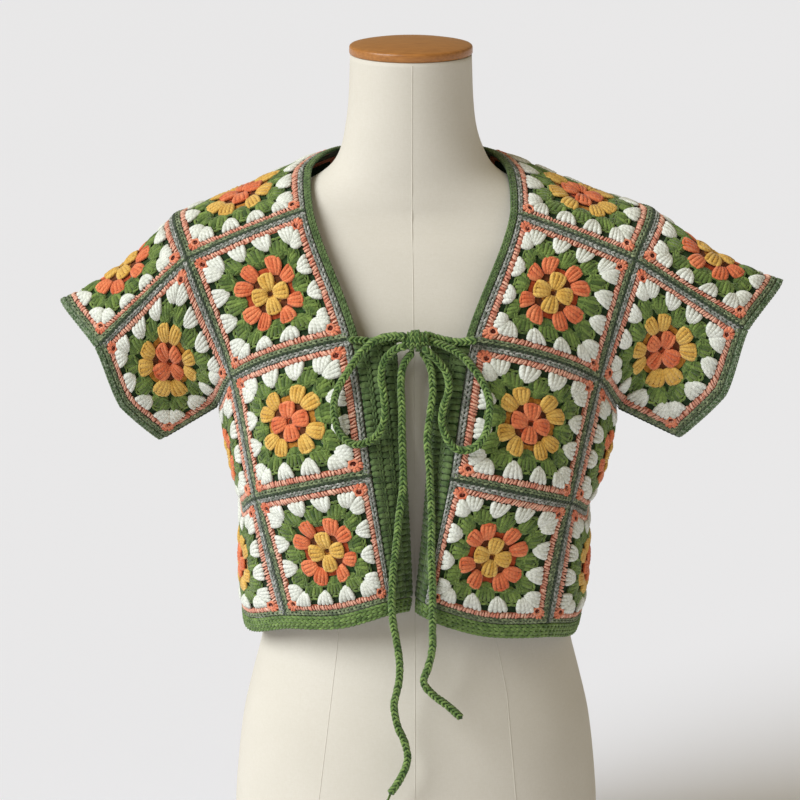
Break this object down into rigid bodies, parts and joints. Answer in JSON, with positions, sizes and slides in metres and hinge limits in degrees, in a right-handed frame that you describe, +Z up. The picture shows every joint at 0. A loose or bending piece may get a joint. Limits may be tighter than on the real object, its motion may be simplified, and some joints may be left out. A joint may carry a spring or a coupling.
{
  "type": "crochet granny square tie-front cardigan on a dress form",
  "caption": "Short crochet cardigan of joined granny squares with cap sleeves, green edgings and a tied drawstring bow, worn by a limbless dress form with a round wooden neck cap",
  "frame": {"origin": "middle of the dress form's flat base, on the surface that it stands on", "axes": "+Z up, -Y out of the chest towards the viewer, +X towards the viewer's right"},
  "size_m": [0.6476, 0.254, 0.778],
  "materials": {
    "wool_yellow_heart": "matt crochet wool, granny square with a yellow middle",
    "wool_orange_heart": "matt crochet wool, granny square with an orange middle",
    "wool_green": "matt green crochet wool",
    "form_cloth": "smooth matt cream cloth cover",
    "form_wood": "satin varnished pale wood"
  },
  "bodies": {
    "root": {"front_chest_first": "wool_yellow_heart", "front_bust_first": "wool_orange_heart", "front_waist_first": "wool_yellow_heart", "side_bust_first": "wool_yellow_heart", "side_waist_first": "wool_orange_heart", "back_chest_first": "wool_yellow_heart", "back_bust_first": "wool_orange_heart", "back_waist_first": "wool_yellow_heart", "shoulder_first": "wool_orange_heart", "sleeve_top_first": "wool_yellow_heart", "sleeve_front_first": "wool_orange_heart", "sleeve_back_first": "wool_orange_heart", "front_chest_second": "wool_yellow_heart", "front_bust_second": "wool_orange_heart", "front_waist_second": "wool_yellow_heart", "side_bust_second": "wool_yellow_heart", "side_waist_second": "wool_orange_heart", "back_chest_second": "wool_yellow_heart", "back_bust_second": "wool_orange_heart", "back_waist_second": "wool_yellow_heart", "shoulder_second": "wool_orange_heart", "sleeve_top_second": "wool_yellow_heart", "sleeve_front_second": "wool_orange_heart", "sleeve_back_second": "wool_orange_heart", "middle_back_chest": "wool_orange_heart", "middle_back_bust": "wool_yellow_heart", "middle_back_waist": "wool_orange_heart", "band_first": "wool_green", "band_second": "wool_green", "hem_border": "wool_green", "neck_edging": "wool_green", "cuff_border_first": "wool_green", "cuff_border_second": "wool_green", "bow_knot": "wool_green", "cord_loop_first": "wool_green", "cord_loop_second": "wool_green", "cord_end_first": "wool_green", "cord_end_second": "wool_green", "cord_run_first": "wool_green", "cord_run_second": "wool_green", "dress_form": "form_cloth", "neck_cap": "form_wood"}
  },
  "joints": []
}
